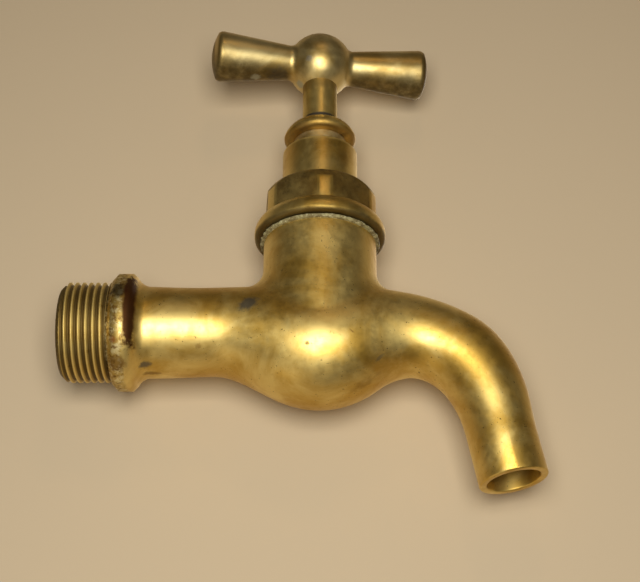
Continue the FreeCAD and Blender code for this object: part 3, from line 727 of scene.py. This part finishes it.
def handle_marks(f):
    """The arms are made darker on their lower side, and their domed ends are made dark too."""
    middle = AXIS_X / MM
    arms = f.sum("SUBTRACT", 1.0, f.band(middle - 9.0, middle + 9.0, 1.2, "X", 0.5))
    # Darker towards the lower side of each arm.
    below = f.between(f.height(), (BALL_HEIGHT - 0.8) * MM, (BALL_HEIGHT - 6.4) * MM)
    below = f.sum("MULTIPLY", below, f.between(f.noise(3.0, 5.0), 0.28, 0.62, 0.55, 0.9))
    # The domed ends are made darker.
    left_end = f.band(middle - 40.0, middle - 30.4, 0.35, "X")
    right_end = f.band(middle + 30.4, middle + 40.0, 0.35, "X")
    ends = f.sum("MULTIPLY", f.sum("MAXIMUM", left_end, right_end), 0.75)
    lean_y = -math.sin(math.radians(BAR_TURN))
    arm_crust = on_tube(middle - 18.7, -5.6, 6.3, BALL_HEIGHT) + Vector((0.0, 18.7 * lean_y, 0.0))
    root_crust = on_tube(middle - 6.0, -6.2, 7.6, BALL_HEIGHT)
    return [
        (f.sum("MULTIPLY", below, arms), ARM_LOW_SIDE_TONE),
        (ends, END_CAP_TONE),
        (f.sum("MULTIPLY", f.near(arm_crust, 2.0), 0.75), SCALE_PALE),
        (f.sum("MULTIPLY", f.near(arm_crust + Vector((6.5, 0.0, 0.0)), 4.4), 0.45), SLATE),
        (f.sum("MULTIPLY", f.near(root_crust, 2.2), 0.8), SCALE_GREY),
        (f.sum("MULTIPLY", f.near(on_tube(middle - 3.2, 0.8, 9.2, BALL_HEIGHT), 1.6), 0.6),
         SMOKE),
        (f.sum("MULTIPLY", f.near((middle + 0.5, -6.0, 95.5), 6.5), 0.45), BROWN),
    ]


handle_brass = old_brass("handle_brass", rubbed=(0.66, 0.54, 0.26), golden=(0.46, 0.32, 0.10),
                         tarnish=0.15, pits=0.35, marks=handle_marks)

section = Section(0.0, -DOME_TIP)
section.arc(6.8, -ARM_END, DOME_BEND, 8).line(ARM_RAD, -ARM_SHOULDER, 0.5)
section.line(ARM_ROOT_RAD, -9.7).arc(6.2, -7.198, -2.4, 8).arc(6.2, 7.198, BALL_RAD, 26)
section.arc(ARM_ROOT_RAD, 9.7, -2.4, 8).line(ARM_RAD, ARM_SHOULDER, 0.5).line(6.8, ARM_END)
section.arc(0.0, DOME_TIP, DOME_BEND, 8)
make_piece(section.turned(), "tee_bar", BAR_PLACE, "handle_and_spindle",
           ["handle"], handle_brass)

# %% [markdown]
# The spindle's top is filed square, driven through the ball and hammered over, so a worn square
# end shows on top of the ball. The spindle itself stays round, with a dark ring where the wet
# packing has rubbed it, and a socket underneath for the valve's stem.

# %% The spindle
STEM_RAD, SCREW_RAD, SOCKET_RAD = 4.95, 6.0, 3.05
TANG_SIDE, TANG_LENGTH, TANG_TOP = 6.4, 14.0, 97.4
TANG_WEAR = 0.55
WET_BLUE = (0.050, 0.055, 0.065)


def stem_marks(f):
    """A blue-black ring above the gland, and a darker band in the corner under the ball."""
    ring = f.sum("MULTIPLY", f.band(60.0, 67.9, 0.3, "Z", 0.3), 0.92)
    # Darker in the corner under the ball.
    corner = f.sum("MULTIPLY", f.band(77.0, 90.0, 1.2, "Z", 0.8), 0.5)
    return [(ring, WET_BLUE), (corner, BROWN)]


stem_brass = old_brass("stem_brass", tarnish=0.55, pits=0.4, marks=stem_marks)

section = Section(0.0, 27.2)
section.line(SOCKET_RAD, 27.2).line(SOCKET_RAD, 12.2)
section.line(SCREW_RAD, 12.2, 0.5).line(SCREW_RAD, 36.0, 0.5)
section.line(STEM_RAD, 36.0).line(STEM_RAD, 70.0).line(STEM_RAD, 84.0).line(0.0, 84.0)
make_piece(section.turned(), "spindle_rod", UPRIGHT, "handle_and_spindle",
           ["spindle"], stem_brass)

bm = bmesh.new()
bmesh.ops.create_cube(bm, size=1.0)
bmesh.ops.scale(bm, verts=bm.verts, vec=(TANG_SIDE, TANG_SIDE, TANG_LENGTH))
bmesh.ops.translate(bm, verts=bm.verts, vec=(0, 0, TANG_TOP - TANG_LENGTH / 2))
bmesh.ops.bevel(bm, geom=bm.edges[:], offset=TANG_WEAR, offset_type="OFFSET", segments=3,
                profile=0.5, affect="EDGES", material=-1)
make_piece(bm, "tang_end", UPRIGHT @ Matrix.Rotation(math.radians(BAR_TURN), 4, "Z"),
           "handle_and_spindle", [], stem_brass)

# %% [markdown]
# ## What is inside
# The washer, its plate and nut, the jumper and the packing are out of sight until the tap is
# taken apart or seen from below. They keep the model's own shapes, and each gets its real stuff:
# clean wet brass, greased hemp, and black rubber.

# %% The inner parts
HEMP_WET, HEMP_DRY = (0.22, 0.17, 0.09), (0.52, 0.45, 0.30)
RUBBER_BLACK, RUBBER_BLOOM = (0.018, 0.018, 0.018), (0.05, 0.05, 0.048)

plain_brass = old_brass("plain_brass", rubbed=(0.80, 0.66, 0.36), tarnish=0.15, pits=0.1,
                        rough=(0.26, 0.40))

hemp = Finish("hemp", metallic=0.0)
strand = hemp.noise(0.5, 4.0, 0.6, hemp.stretched((1.0, 1.0, 0.25)))
hemp.finish(hemp.mix(hemp.between(strand, 0.35, 0.65), HEMP_WET, HEMP_DRY),
            hemp.between(strand, 0.3, 0.7, 0.55, 0.85), [(strand, 0.7, 0.2)])

rubber = Finish("rubber", metallic=0.0)
bloom = rubber.noise(2.0, 5.0)
rubber.finish(rubber.mix(rubber.between(bloom, 0.4, 0.7), RUBBER_BLACK, RUBBER_BLOOM),
              rubber.between(bloom, 0.3, 0.7, 0.55, 0.8), [(rubber.noise(0.4, 3.0), 0.3, 0.08)])

STUFF = {
    plain_brass: ("gland_follower", "packing_washer", "valve_jumper", "washer_plate",
                  "washer_nut"),
    hemp.material: ("packing_ring_lower", "packing_ring_middle", "packing_ring_upper"),
    rubber.material: ("valve_washer",),
    cast_brass: ("body",),
    turned_brass: ("bonnet",),
    gland_brass: ("gland_nut",),
    crust.material: ("bonnet_gasket",),
    stem_brass: ("spindle",),
    handle_brass: ("handle",),
}
for material, names in STUFF.items():
    for name in names:
        node_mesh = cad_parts[name].data
        node_mesh.materials.clear()
        node_mesh.materials.append(material)
